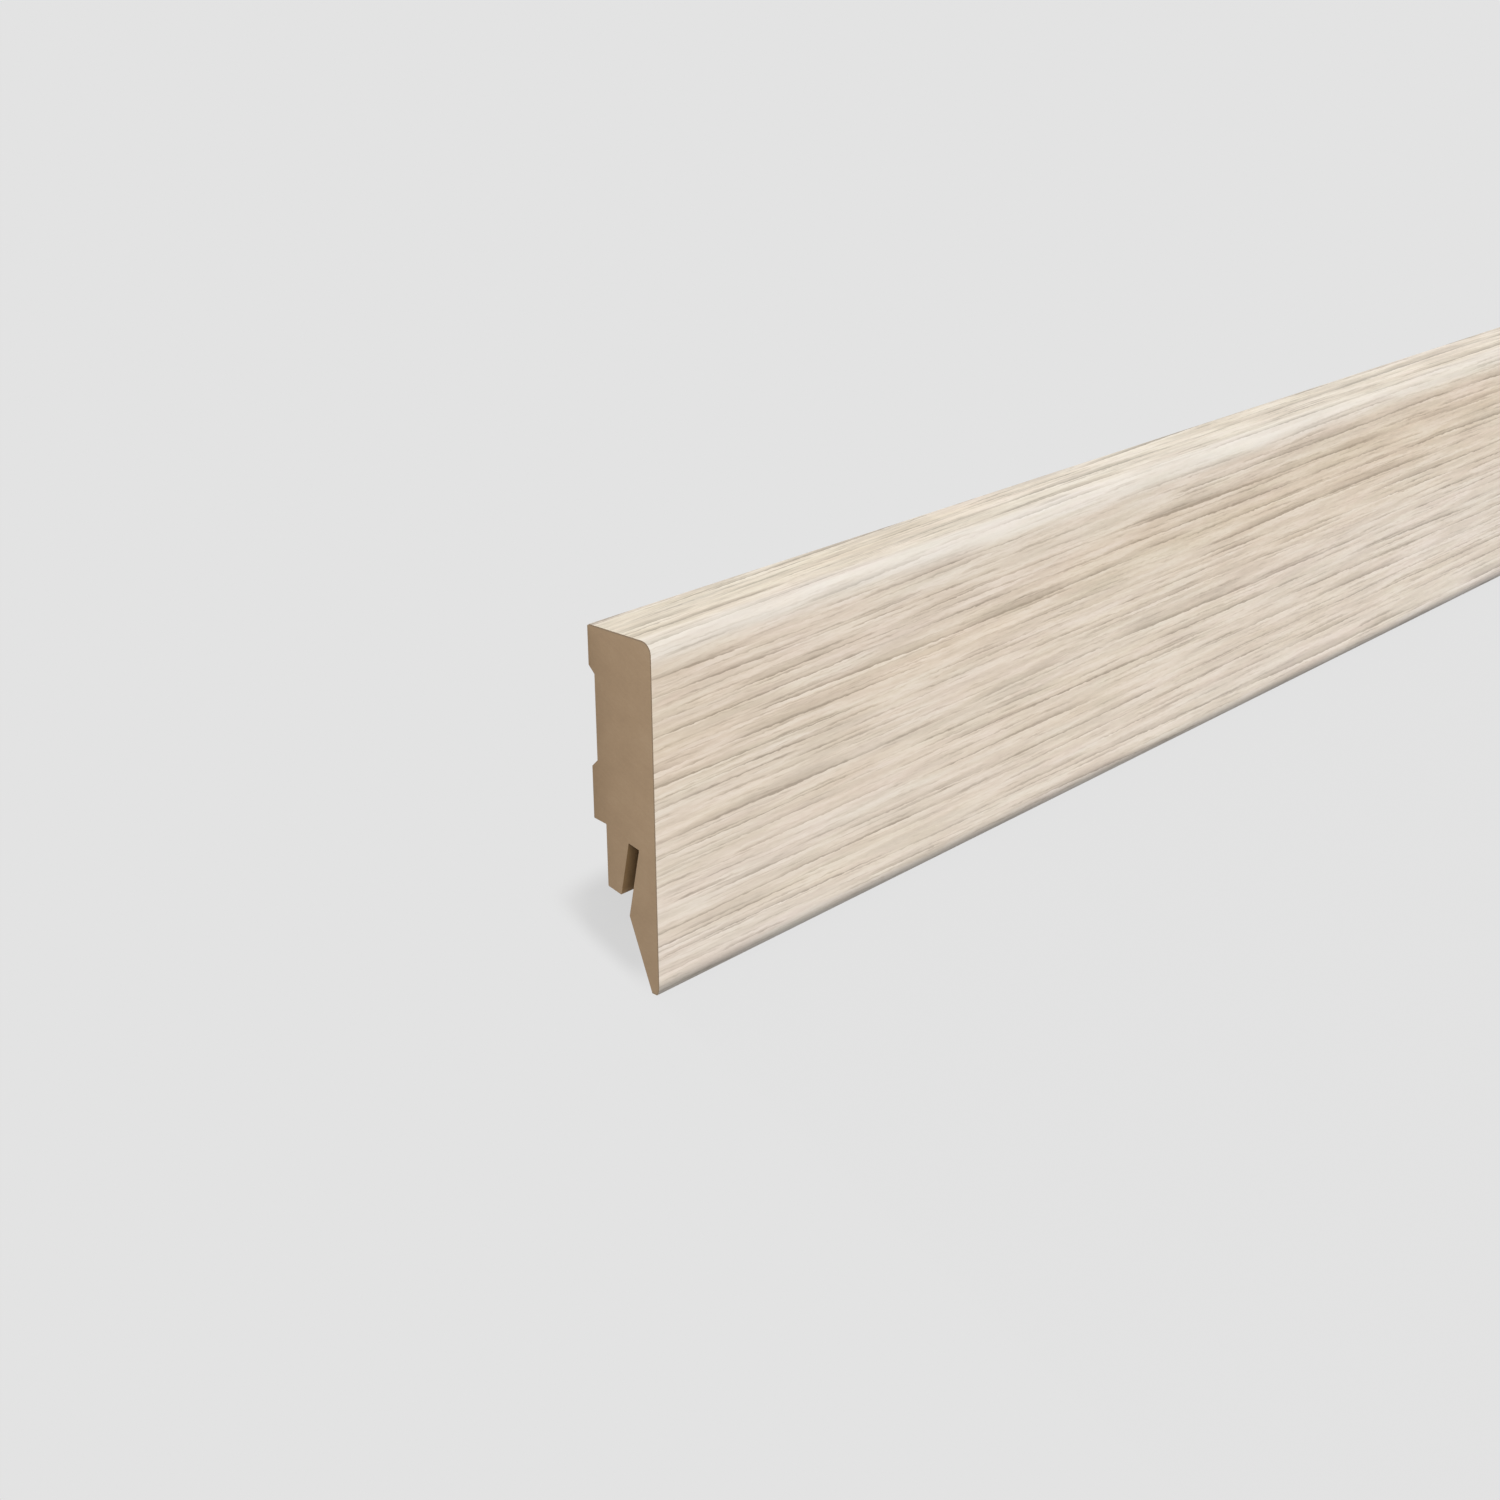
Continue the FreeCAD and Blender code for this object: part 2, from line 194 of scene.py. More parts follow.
def sweep_tree():
    """A closed section drawn along the board, with its sides and sawn ends finished.

    The map `wrap` gives each point its place on the unrolled surface, in metres: along
    the board from its first end, and round the section from the outline's first point.
    """
    tree = bpy.data.node_groups.new("swept_section", "GeometryNodeTree")
    for name, kind in (
        ("Section", "NodeSocketGeometry"),
        ("Half Length", "NodeSocketFloat"),
        ("Bays", "NodeSocketInt"),
        ("Side Finish", "NodeSocketMaterial"),
        ("End Finish", "NodeSocketMaterial"),
    ):
        tree.interface.new_socket(name, in_out="INPUT", socket_type=kind)
    tree.interface.new_socket("Board", in_out="OUTPUT", socket_type="NodeSocketGeometry")
    given = add(tree, "NodeGroupInput").outputs

    outline = add(tree, "GeometryNodeMeshToCurve", {"Mesh": given["Section"]})
    corner = add(tree, "GeometryNodeInputNamedAttribute", {"Name": "corner_radius"})
    eased = add(
        tree, "GeometryNodeFilletCurve",
        {
            "Curve": outline.outputs[0],
            "Count": ARRIS_POINTS,
            "Radius": corner.outputs["Attribute"],
        },
        mode="POLY",
    )
    spot = add(tree, "GeometryNodeSplineParameter")
    round_section = add(
        tree, "GeometryNodeCaptureAttribute", {"Geometry": eased.outputs[0]}, domain="POINT"
    )
    round_section.capture_items.new("FLOAT", "Round")
    tree.links.new(spot.outputs["Length"], round_section.inputs["Round"])

    back = add(tree, "ShaderNodeMath", {0: given["Half Length"], 1: -1.0}, operation="MULTIPLY")
    start = add(tree, "ShaderNodeCombineXYZ", {"X": back.outputs[0]})
    end = add(tree, "ShaderNodeCombineXYZ", {"X": given["Half Length"]})
    line = add(
        tree, "GeometryNodeCurvePrimitiveLine",
        {"Start": start.outputs[0], "End": end.outputs[0]},
    )
    posts = add(tree, "ShaderNodeMath", {0: given["Bays"], 1: 1.0}, operation="ADD")
    rail = add(
        tree, "GeometryNodeResampleCurve", {"Curve": line.outputs[0], "Count": posts.outputs[0]}
    )
    upright = add(tree, "GeometryNodeSetCurveNormal", {"Curve": rail.outputs[0]}, mode="Z_UP")
    swept = add(
        tree, "GeometryNodeCurveToMesh",
        {
            "Curve": upright.outputs[0],
            "Profile Curve": round_section.outputs["Geometry"],
            "Fill Caps": True,
        },
    )

    place = add(tree, "GeometryNodeInputPosition")
    parts = add(tree, "ShaderNodeSeparateXYZ", {0: place.outputs[0]})
    along = add(
        tree, "ShaderNodeMath", {0: parts.outputs["X"], 1: given["Half Length"]}, operation="ADD"
    )
    spread = add(
        tree, "ShaderNodeCombineXYZ", {"X": along.outputs[0], "Y": round_section.outputs["Round"]}
    )
    mapped = add(
        tree, "GeometryNodeStoreNamedAttribute",
        {"Geometry": swept.outputs[0], "Name": "wrap", "Value": spread.outputs[0]},
        data_type="FLOAT2", domain="CORNER",
    )

    smooth = add(tree, "GeometryNodeSetShadeSmooth", {"Geometry": mapped.outputs[0]}, domain="FACE")
    bend = add(tree, "GeometryNodeInputMeshEdgeAngle")
    sharp = add(
        tree, "FunctionNodeCompare", {0: bend.outputs["Unsigned Angle"], 1: CREASE},
        data_type="FLOAT", operation="GREATER_THAN",
    )
    creased = add(
        tree, "GeometryNodeSetShadeSmooth",
        {"Geometry": smooth.outputs[0], "Selection": sharp.outputs[0], "Shade Smooth": False},
        domain="EDGE",
    )

    facing = add(tree, "GeometryNodeInputNormal")
    turned = add(tree, "ShaderNodeSeparateXYZ", {0: facing.outputs[0]})
    lengthways = add(tree, "ShaderNodeMath", {0: turned.outputs["X"]}, operation="ABSOLUTE")
    is_end = add(
        tree, "FunctionNodeCompare", {0: lengthways.outputs[0], 1: END_FACING},
        data_type="FLOAT", operation="GREATER_THAN",
    )
    real = add(tree, "GeometryNodeRealizeInstances", {"Geometry": creased.outputs[0]})
    sides = add(
        tree, "GeometryNodeSetMaterial",
        {"Geometry": real.outputs[0], "Material": given["Side Finish"]},
    )
    ends = add(
        tree, "GeometryNodeSetMaterial",
        {
            "Geometry": sides.outputs[0],
            "Selection": is_end.outputs[0],
            "Material": given["End Finish"],
        },
    )
    add(tree, "NodeGroupOutput", {"Board": ends.outputs[0]})
    return tree


def section_mesh(name, outline):
    """The closed outline as a ring of edges across the board, in the sweep's own axes.

    The sweep turns a section's first axis to the board's -Y and its second to -Z.
    """
    count = len(outline)
    mesh = bpy.data.meshes.new(name)
    mesh.from_pydata(
        [(-y, -z, 0) for (y, z), _ in outline],
        [(i, (i + 1) % count) for i in range(count)],
        [],
    )
    radius = mesh.attributes.new("corner_radius", "FLOAT", "POINT")
    radius.data.foreach_set("value", [corner for _, corner in outline])
    return mesh


def sweep(tree, name, outline, side, end):
    """One piece of the board: the section swept, then kept as a plain mesh."""
    piece = bpy.data.objects.new(name, section_mesh(name, outline))
    bpy.context.scene.collection.objects.link(piece)
    modifier = piece.modifiers.new("sweep", "NODES")
    modifier.node_group = tree
    sockets = {item.name: item.identifier for item in tree.interface.items_tree}
    for label, value in (
        ("Half Length", HALF_LENGTH),
        ("Bays", BAYS),
        ("Side Finish", side),
        ("End Finish", end),
    ):
        modifier[sockets[label]] = value
    graph = bpy.context.evaluated_depsgraph_get()
    result = bpy.data.meshes.new_from_object(piece.evaluated_get(graph), depsgraph=graph)
    piece.modifiers.remove(modifier)
    piece.data = result
    return piece


def roll_light(mesh):
    """Let the shading of the foil's outside turn evenly over its front edges; the shape stays.

    A corner's lean is its angle from the face's direction, towards the top.
    """
    round_start = FACE - ROUND_RADIUS - FOIL - ROUND_ROLL - FOIL_SETBACK
    round_end = round_start + 2 * ROUND_ROLL + (ROUND_RADIUS + FOIL) * QUARTER
    normals = []
    for corner, facing, spot in zip(mesh.loops, mesh.corner_normals, mesh.uv_layers["wrap"].uv):
        normal = facing.vector
        place = mesh.vertices[corner.vertex_index].co
        lean = math.atan2(normal.y, normal.z)
        height = place.y - BOTTOM
        outside = spot.vector.y < outer_length and abs(normal.x) < END_FACING
        if outside and round_start < spot.vector.y < round_end:
            lean = QUARTER * (round_end - spot.vector.y) / (round_end - round_start)
        elif outside and height < EDGE_ROLL and normal.z > FACE_UP:
            lean = min(lean, (height - EDGE_ROLL) * EDGE_ROLL_RATE)
        else:
            normals.append(tuple(normal))
            continue
        normals.append((0, math.sin(lean), math.cos(lean)))
    mesh.normals_split_custom_set(normals)


# The print, in millimetres of the unrolled foil
NOISE_NUMBERS = ("Length", "Width", "Slope", "Layer")
STREAK_NUMBERS = (*NOISE_NUMBERS, "Start", "Full")
LINE_NUMBERS = ("Pitch", "Width", "Length", "Slope", "Layer", "Start")
LINE_PLACE = 0.5  # where in its pitch a growth line's dark edge falls
LINE_LEAST = 0.02  # the width that a line tapers to
LINE_EDGE = 0.05  # half the softness of its dark edge
PALE_RIM = 0.5
PALE_SHARE = 0.08
WANDER = 2.5  # in pitches, how far the lines draw together and apart
WANDER_PATCH = (300, 11)  # length, width
SWELL_RISE = 0.26
SWELL_ROW = 0.37  # in lines, small enough that each line swells and breaks by itself
BASE_DARKNESS = 0.04
SWAY_LENGTH = 900
SWAY_DEPTH = 0.12
LEVEL_LINE = 50  # the place round the section that doesn't sway
GRAIN_WAVES = (
    # length, width, depth, layer
    (260, 40, 1.0, 1),
    (60, 7, 0.25, 2),
    (12, 1.4, 0.20, 3),
    (2.0, 0.35, 0.28, 4),
)
GROWTH_LINES = (
    # pitch, width, length, slope, layer, start, darkness, and the patches that they keep to
    (3.0, 0.46, 46, 0.0, 11, 0.36, 0.62, None),
    (3.0, 1.6, 46, 0.0, 11, 0.34, 0.43, None),
    (1.9, 0.60, 22, 0.006, 12, 0.40, 0.65, None),
    (0.95, 0.40, 11, -0.010, 13, 0.46, 0.38, None),
    (0.80, 0.36, 13, -0.008, 14, 0.37, 0.50, (36, 3.4, 0.0, 54, 0.52, 0.62)),
    (0.55, 0.30, 8, 0.015, 15, 0.40, 0.36, (22, 4.5, 0.0, 55, 0.52, 0.64)),
)
STREAKS = (
    # length, width, slope, layer, start, full, darkness
    (260, 10.0, 0.0, 21, 0.36, 0.70, 0.03),
    (90, 3.2, 0.0, 22, 0.42, 0.66, 0.05),
    (26, 1.3, 0.012, 23, 0.34, 0.68, 0.32),
    (5, 0.36, 0.03, 24, 0.48, 0.68, 0.09),
    (2.2, 0.30, -0.05, 25, 0.42, 0.66, 0.08),
)
BROAD_PATCHES = (210, 18, 0.0, 41, 0.34, 0.68)  # length, width, slope, layer, start, full
BROAD_DARKNESS = 0.05
BROAD_WARMTH = (0.92, 1.08)
HUE_PATCHES = (
    # length, width, layer, how far red, green and blue each stray
    (14, 1.5, 31, (0.05, 0.03, 0.06)),
    (60, 6.0, 32, (0.05, 0.03, 0.05)),
)
TONES = (
    (0.0, "F5E9DA"),
    (0.25, "E6D7C5"),
    (0.5, "D5C6B4"),
    (1.0, "B3A493"),
)
SECTION_RUN = 80
# Partly print and partly painted light: on the top and the round the greyer, fainter print is a
# painted sheen and the round's lower lightness is painted shade that tones down the lamp's
# highlight; the dark grey foot is painted shade over the eased bottom edge.
PRINT_AND_PAINTED_LIGHT_ROUND_THE_SECTION = (
    # place round the section, contrast, depth of colour, lightness, hue
    # the top: a little greyer, a painted sheen
    (0, 1.0, 0.84, 0.925, 0.507),
    (1.8, 1.0, 0.92, 0.99, 0.509),
    (9, 1.0, 0.92, 0.99, 0.509),
    # the round: fainter and greyer as a painted sheen, darker as painted shade against the lamp's
    # highlight
    (12.5, 0.5, 0.72, 0.85, 0.506),
    (14.2, 0.5, 0.74, 0.845, 0.506),
    (17.5, 0.80, 1.03, 0.98, 0.5),
    (22, 0.82, 1.08, 0.97, 0.5),
    (36, 0.82, 1.08, 0.985, 0.5),
    (50, 0.76, 0.94, 1.0, 0.5),
    (70.6, 0.74, 0.85, 1.02, 0.5),
    # the foot: darker and greyer, painted shade over the eased bottom edge
    (72.4, 0.78, 0.74, 0.67, 0.5),
)

# Fibreboard, in millimetres
FIBRE_TONES = ((0.2, "9C846A"), (0.5, "A78E72"), (0.8, "B0987C"))
FOIL_EDGE_TONES = ((0.3, "83705A"), (0.7, "A08B72"))
CLOUD = 5.0
SPECKLE = 0.45
DUST = 0.16
RUB = (14, 0.5)  # length, width of a mark that the saw rubs on the cut end
RUB_LEAN = math.radians(62)
SAWN_SHARES = (0.42, 0.22, 0.20, 0.16)  # of cloud, speckle, dust and rub marks
SAWN_SHADE = ((-26, 0.91), (0, 1.0))  # height on the board and lightness, from foot to middle: painted shade that darkens the cut end towards the foot
FIBRE = (0.9, 0.22)  # length, width
SCRATCH = (90.0, 0.35)  # length, width
MACHINED_SHARES = (0.34, 0.36, 0.30)  # of cloud, fibres and scratches
RIPPLE = 1.6  # from one cutter mark to the next
RIPPLE_SHARE = 0.05
RAISED = 0.2 * MM  # how far the fibres seem to stand up
RAISED_STRENGTH = 0.25
# Painted shade in the slot: how much darker and warmer its walls are painted
SLOT_PAINTED_SHADE = 0.31
SLOT_SHADE_WARMTH = 0.28
SLOT_MOUTH = (-0.2, 1.0)  # from the tongue's foot, where the slot's painted shade begins and is full
SLOT_CLEAR = 1.0  # beyond the slot's end, and in front of the rebate


def new_finish(name, roughness, specular):
    """A finish's material, its node tree and its shader, with its sheen set."""
    material = bpy.data.materials.new(name)
    material.use_nodes = True
    shader = material.node_tree.nodes["Principled BSDF"]
    shader.inputs["Roughness"].default_value = roughness
    shader.inputs["Specular IOR Level"].default_value = specular
    return material, material.node_tree, shader


def set_stops(ramp, stops):
    """Give a colour ramp its stops, each a position and a linear colour."""
    elements = ramp.color_ramp.elements
    while len(elements) < len(stops):
        elements.new(0.5)
    for element, (position, colour) in zip(elements, stops):
        element.position = position
        element.color = colour


def mixed_levels(tree, levels, total=0.0):
    """One level from several, each with its share, on top of a first total."""
    for level, share in levels:
        total = add(
            tree, "ShaderNodeMath", {0: level, 1: share, 2: total}, operation="MULTIPLY_ADD"
        ).outputs[0]
    return total


def in_millimetres(tree, place):
    """A place that is given in metres."""
    scaled = add(
        tree, "ShaderNodeVectorMath", {0: place, 1: (1 / MM, 1 / MM, 1 / MM)}, operation="MULTIPLY"
    )
    return scaled.outputs[0]


def unrolled_place(tree):
    """Where a point lies on the unrolled surface, along the board and round its section."""
    return in_millimetres(tree, add(tree, "ShaderNodeUVMap", uv_map="wrap").outputs[0])


def solid_place(tree):
    """Where a point lies in the board, on the board's own axes."""
    return in_millimetres(tree, add(tree, "ShaderNodeTexCoord").outputs["Object"])


# Patterns that the finishes share


def number_group(name, numbers, outputs):
    """An empty shader group over a surface in millimetres, and its input sockets."""
    tree = bpy.data.node_groups.new(name, "ShaderNodeTree")
    tree.interface.new_socket("Surface", in_out="INPUT", socket_type="NodeSocketVector")
    for number in numbers:
        tree.interface.new_socket(number, in_out="INPUT", socket_type="NodeSocketFloat")
    for output, kind in outputs:
        tree.interface.new_socket(output, in_out="OUTPUT", socket_type=kind)
    return tree, add(tree, "NodeGroupInput").outputs


def along_and_across(tree, given):
    """How far along the board a point lies, and how far across lines at the given slope."""
    parts = add(tree, "ShaderNodeSeparateXYZ", {0: given["Surface"]})
    tilted = add(
        tree, "ShaderNodeMath",
        {0: parts.outputs["X"], 1: given["Slope"], 2: parts.outputs["Y"]}, operation="MULTIPLY_ADD",
    )
    return parts.outputs["X"], tilted.outputs[0]


def drawn_noise_group():
    """Soft noise with cells of Length by Width millimetres, at a Slope to the board's length.

    Layer tells one set from the next.
    """
    tree, given = number_group(
        "drawn_noise", NOISE_NUMBERS,
        (("Level", "NodeSocketFloat"), ("Colour", "NodeSocketColor")),
    )
    cell = add(
        tree, "ShaderNodeCombineXYZ", {"X": given["Length"], "Y": given["Width"], "Z": 1.0}
    )
    along, across = along_and_across(tree, given)
    sheared = add(tree, "ShaderNodeCombineXYZ", {"X": along, "Y": across})
    drawn = add(
        tree, "ShaderNodeVectorMath", {0: sheared.outputs[0], 1: cell.outputs[0]},
        operation="DIVIDE",
    )
    sheet = add(tree, "ShaderNodeCombineXYZ", {"Z": given["Layer"]})
    place = add(
        tree, "ShaderNodeVectorMath", {0: drawn.outputs[0], 1: sheet.outputs[0]}, operation="ADD"
    )
    noise = add(
        tree, "ShaderNodeTexNoise",
        {"Vector": place.outputs[0], "Scale": 1.0, "Detail": 2.0, "Roughness": 0.5},
    )
    add(tree, "NodeGroupOutput", {"Level": noise.outputs["Fac"], "Colour": noise.outputs["Color"]})
    return tree


def streak_group(noise):
    """Streaks along the grain: only the peaks of a drawn-out noise, from Start up to Full."""
    tree, given = number_group("streaks", STREAK_NUMBERS, (("Strength", "NodeSocketFloat"),))
    wave = add(
        tree, "ShaderNodeGroup", {name: given[name] for name in ("Surface", *NOISE_NUMBERS)},
        node_tree=noise,
    )
    kept = add(
        tree, "ShaderNodeMapRange",
        {"Value": wave.outputs["Level"], "From Min": given["Start"], "From Max": given["Full"]},
        interpolation_type="SMOOTHSTEP",
    )
    add(tree, "NodeGroupOutput", {"Strength": kept.outputs[0]})
    return tree


def growth_line_group(noise, streaks):
    """Growth lines: each darkens over its Width up to a sharp edge, with a pale rim past it.

    Pitch is from line to line and Length is how far a line runs between its breaks, in
    millimetres. Slope is how far the lines stray from the board's length. The higher the
    Start, the more of each line is missing.
    """
    tree, given = number_group("growth_lines", LINE_NUMBERS, (("Strength", "NodeSocketFloat"),))
    along, across = along_and_across(tree, given)
    even = add(tree, "ShaderNodeMath", {0: across, 1: given["Pitch"]}, operation="DIVIDE")
    wander = add(
        tree, "ShaderNodeGroup",
        {"Surface": given["Surface"], "Length": WANDER_PATCH[0], "Width": WANDER_PATCH[1],
         "Layer": given["Layer"]},
        node_tree=noise,
    )
    years = add(
        tree, "ShaderNodeMath",
        {0: wander.outputs["Level"], 1: WANDER, 2: even.outputs[0]}, operation="MULTIPLY_ADD",
    )
    year = add(tree, "ShaderNodeMath", {0: years.outputs[0]}, operation="FLOOR")
    season = add(tree, "ShaderNodeMath", {0: years.outputs[0]}, operation="FRACT")
    own_row = add(tree, "ShaderNodeCombineXYZ", {"X": along, "Y": year.outputs[0]})
    full = add(tree, "ShaderNodeMath", {0: given["Start"], 1: SWELL_RISE}, operation="ADD")
    swell = add(
        tree, "ShaderNodeGroup",
        {"Surface": own_row.outputs[0], "Length": given["Length"], "Width": SWELL_ROW,
         "Layer": given["Layer"], "Start": given["Start"], "Full": full.outputs[0]},
        node_tree=streaks,
    )
    ahead = add(
        tree, "ShaderNodeMath", {0: LINE_PLACE, 1: season.outputs[0]}, operation="SUBTRACT"
    )
    to_edge = add(
        tree, "ShaderNodeMath", {0: ahead.outputs[0], 1: given["Pitch"]}, operation="MULTIPLY"
    )
    width = add(
        tree, "ShaderNodeMath",
        {0: given["Width"], 1: swell.outputs[0], 2: LINE_LEAST}, operation="MULTIPLY_ADD",
    )
    late = add(
        tree, "ShaderNodeMapRange",
        {"Value": to_edge.outputs[0], "From Min": width.outputs[0], "From Max": 0.0},
        interpolation_type="SMOOTHSTEP",
    )
    early = add(
        tree, "ShaderNodeMapRange",
        {"Value": to_edge.outputs[0], "From Min": -PALE_RIM, "From Max": 0.0,
         "To Max": -PALE_SHARE},
    )
    before_edge = add(
        tree, "ShaderNodeMapRange",
        {"Value": to_edge.outputs[0], "From Min": -LINE_EDGE, "From Max": LINE_EDGE},
    )
    profile = add(
        tree, "ShaderNodeMix",
        {0: before_edge.outputs[0], 2: early.outputs[0], 3: late.outputs[0]},
    )
    strength = add(
        tree, "ShaderNodeMath", {0: profile.outputs[0], 1: swell.outputs[0]},
        operation="MULTIPLY",
    )
    add(tree, "NodeGroupOutput", {"Strength": strength.outputs[0]})
    return tree


# The foil's finish


def bend_grain(tree, surface, noise):
    """The surface bent as the growth lines of the print bend."""
    parts = add(tree, "ShaderNodeSeparateXYZ", {0: surface})
    turn = add(
        tree, "ShaderNodeMath",
        {0: parts.outputs["X"], 1: 2 * math.pi / SWAY_LENGTH}, operation="MULTIPLY",
    )
    sway = add(tree, "ShaderNodeMath", {0: turn.outputs[0]}, operation="SINE")
    spread = add(
        tree, "ShaderNodeMath", {0: sway.outputs[0], 1: -SWAY_DEPTH}, operation="MULTIPLY"
    )
    off_level = add(
        tree, "ShaderNodeMath", {0: parts.outputs["Y"], 1: LEVEL_LINE}, operation="SUBTRACT"
    )
    bent = add(
        tree, "ShaderNodeMath",
        {0: off_level.outputs[0], 1: spread.outputs[0], 2: parts.outputs["Y"]},
        operation="MULTIPLY_ADD",
    )
    for length, width, depth, layer in GRAIN_WAVES:
        wave = add(
            tree, "ShaderNodeGroup",
            {"Surface": surface, "Length": length, "Width": width, "Layer": layer},
            node_tree=noise,
        )
        centred = add(
            tree, "ShaderNodeMath", {0: wave.outputs["Level"], 1: 0.5}, operation="SUBTRACT"
        )
        bent = add(
            tree, "ShaderNodeMath",
            {0: centred.outputs[0], 1: 2 * depth, 2: bent.outputs[0]}, operation="MULTIPLY_ADD",
        )
    field = add(tree, "ShaderNodeCombineXYZ", {"X": parts.outputs["X"], "Y": bent.outputs[0]})
    return field.outputs[0]


def round_the_section(tree, surface):
    """What changes round the section: the print's contrast, depth, lightness and hue, with light
    and shade painted into them.

    It is pale along the round top edge, with fainter lines and less colour as a painted
    sheen and a lower lightness as painted shade that tones down the lamp's highlight there,
    and a little greyer over the top as painted sheen. It is warmer and a little darker on
    the upper half of the face and paler below, as print, and darker and greyer on the
    foot, as painted shade over the eased bottom edge.
    """
    parts = add(tree, "ShaderNodeSeparateXYZ", {0: surface})
    place = add(
        tree, "ShaderNodeMath", {0: parts.outputs["Y"], 1: SECTION_RUN}, operation="DIVIDE"
    )
    ramp = add(tree, "ShaderNodeValToRGB", {"Fac": place.outputs[0]})
    ramp.color_ramp.interpolation = "EASE"
    set_stops(ramp, [(run / SECTION_RUN, levels) for run, *levels in PRINT_AND_PAINTED_LIGHT_ROUND_THE_SECTION])
    levels = add(tree, "ShaderNodeSeparateXYZ", {0: ramp.outputs["Color"]})
    return *levels.outputs, ramp.outputs["Alpha"]


def light_oak_foil(noise, streaks):
    """Decor paper printed as bleached oak and sealed with a satin lacquer.

    To the eye: nearly straight grain in cream and beige, thin grey-brown growth lines that
    swell, taper and break off, soft broad bands, and a low even sheen with no relief.
    """
    material, tree, shader = new_finish("decor_foil_light_oak", roughness=0.5, specular=0.25)
    surface = unrolled_place(tree)
    field = bend_grain(tree, surface, noise)
    # contrast, depth and lightness carry painted sheen and painted shade as well as the print's own
    # tone
    contrast, depth, lightness, hue = round_the_section(tree, surface)
    growth_lines = growth_line_group(noise, streaks)

    layers = []
    for *numbers, darkness, patch in GROWTH_LINES:
        lines = add(
            tree, "ShaderNodeGroup", {"Surface": field, **dict(zip(LINE_NUMBERS, numbers))},
            node_tree=growth_lines,
        )
        if patch:
            within = add(
                tree, "ShaderNodeGroup", {"Surface": field, **dict(zip(STREAK_NUMBERS, patch))},
                node_tree=streaks,
            )
            lines = add(
                tree, "ShaderNodeMath", {0: lines.outputs[0], 1: within.outputs[0]},
                operation="MULTIPLY",
            )
        layers.append((lines.outputs[0], darkness))
    for *numbers, darkness in STREAKS:
        streak = add(
            tree, "ShaderNodeGroup", {"Surface": field, **dict(zip(STREAK_NUMBERS, numbers))},
            node_tree=streaks,
        )
        layers.append((streak.outputs[0], darkness))
    broad = add(
        tree, "ShaderNodeGroup", {"Surface": field, **dict(zip(STREAK_NUMBERS, BROAD_PATCHES))},
        node_tree=streaks,
    )
    layers.append((broad.outputs[0], BROAD_DARKNESS))
    dark = mixed_levels(tree, layers, BASE_DARKNESS)
    dark = add(tree, "ShaderNodeMath", {0: dark, 1: contrast}, operation="MULTIPLY")
    tone = add(tree, "ShaderNodeValToRGB", {"Fac": dark.outputs[0]})
    set_stops(tone, [(level, linear(colour)) for level, colour in TONES])

    warmth = add(
        tree, "ShaderNodeMapRange",
        {"Value": broad.outputs[0], "To Min": BROAD_WARMTH[0], "To Max": BROAD_WARMTH[1]},
    )
    warm_depth = add(
        tree, "ShaderNodeMath", {0: warmth.outputs[0], 1: depth}, operation="MULTIPLY"
    )
    colour = add(
        tree, "ShaderNodeHueSaturation",
        {"Hue": hue, "Saturation": warm_depth.outputs[0], "Value": lightness,
         "Color": tone.outputs["Color"]},
    ).outputs["Color"]
    for length, width, layer, strays in HUE_PATCHES:
        patch = add(
            tree, "ShaderNodeGroup",
            {"Surface": field, "Length": length, "Width": width, "Layer": layer},
            node_tree=noise,
        )
        tint = add(
            tree, "ShaderNodeVectorMath",
            {0: patch.outputs["Colour"], 1: strays, 2: [1 - stray / 2 for stray in strays]},
            operation="MULTIPLY_ADD",
        )
        colour = add(
            tree, "ShaderNodeVectorMath", {0: colour, 1: tint.outputs[0]}, operation="MULTIPLY"
        ).outputs[0]
    tree.links.new(colour, shader.inputs["Base Color"])
    return material


def foil_cut_edge():
    """The foil's own edge: brown paper core and glue line, a hair's width of it.

    To the eye: a thin line a little darker than the fibreboard beside it.
    """
    material, tree, shader = new_finish("decor_foil_cut_edge", roughness=0.8, specular=0.25)
    place = solid_place(tree)
    dust = add(tree, "ShaderNodeTexNoise", {"Vector": place, "Scale": 1 / DUST, "Detail": 1.0})
    tone = add(tree, "ShaderNodeValToRGB", {"Fac": dust.outputs["Fac"]})
    set_stops(tone, [(level, linear(colour)) for level, colour in FOIL_EDGE_TONES])
    tree.links.new(tone.outputs["Color"], shader.inputs["Base Color"])
    return material


# The core's finishes


def fibre_colour(tree, speckle):
    """The tone of pressed fibre for a speckle from 0, dark, to 1, pale."""
    tone = add(tree, "ShaderNodeValToRGB", {"Fac": speckle})
    set_stops(tone, [(level, linear(colour)) for level, colour in FIBRE_TONES])
    return tone.outputs["Color"]


